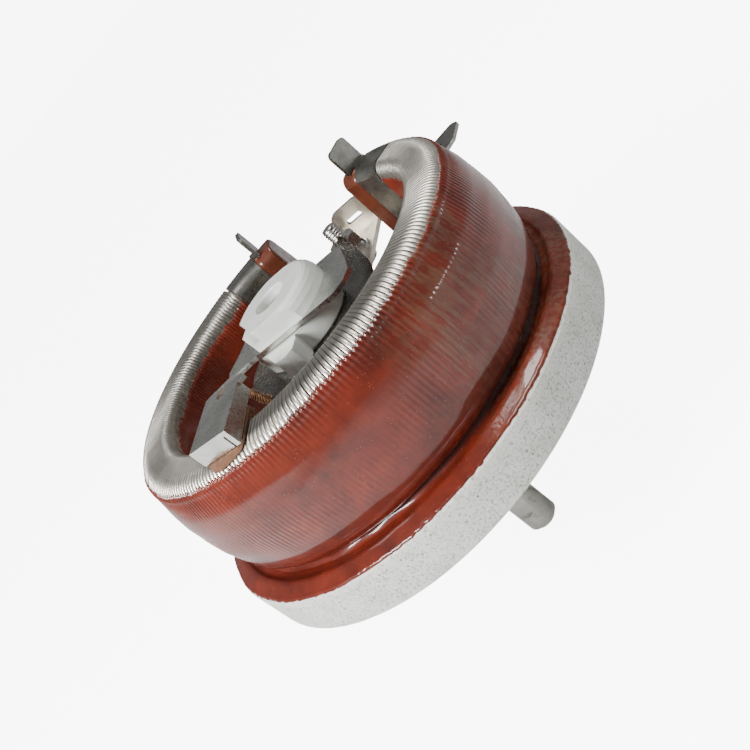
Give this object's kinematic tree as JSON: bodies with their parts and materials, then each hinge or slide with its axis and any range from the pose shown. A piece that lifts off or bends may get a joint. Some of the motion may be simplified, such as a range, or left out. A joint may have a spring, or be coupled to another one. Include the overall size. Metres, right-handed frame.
{
  "type": "rheostat",
  "caption": "Open-frame ceramic disc rheostat: an enamelled wirewound ring on a round ceramic base, swept by a sprung contact arm on a panel shaft.",
  "frame": {"origin": "centre of the ceramic base's panel face, on the shaft axis", "axes": "+Z along the shaft from the panel face towards the hub; +Y through the middle of the open gap between the two ends of the winding; the contact arm rests near -Y"},
  "size_m": [0.102, 0.102, 0.0896],
  "materials": {
    "base_ceramic": "matte",
    "core_ceramic": "matte",
    "resistance_wire": "satin",
    "vitreous_enamel": "gloss",
    "plated_steel": "satin",
    "collector_metal": "satin",
    "fastener_zinc": "satin",
    "bushing_brass": "satin",
    "shaft_steel": "satin",
    "hub_glaze": "gloss",
    "brush_carbon": "satin",
    "spring_bronze": "satin",
    "copper_braid": "satin"
  },
  "bodies": {
    "stator": {"ceramic_base": "base_ceramic", "winding_core": "core_ceramic", "resistance_winding": "resistance_wire", "enamel_coat": "vitreous_enamel", "end_band_left": "plated_steel", "end_band_right": "plated_steel", "collector_ring": "collector_metal", "collector_rivets": "fastener_zinc", "terminal_screw": "fastener_zinc", "terminal_washer": "fastener_zinc", "terminal_lock_washer": "fastener_zinc", "terminal_nut": "fastener_zinc", "bushing": "bushing_brass"},
    "rotor": {"shaft": "shaft_steel", "drive_pin": "shaft_steel", "retaining_ring": "shaft_steel", "hub": "hub_glaze", "contact_arm": "plated_steel", "contact_brush": "brush_carbon", "spring_disc": "spring_bronze", "collector_shoe": "bushing_brass", "pigtail": "copper_braid"}
  },
  "joints": [
    {"name": "shaft_turn", "type": "hinge", "parent": "stator", "child": "rotor", "pos_m": [0, 0, 0], "axis": [0, 0, 1], "range_deg": [-138, 144]}
  ]
}
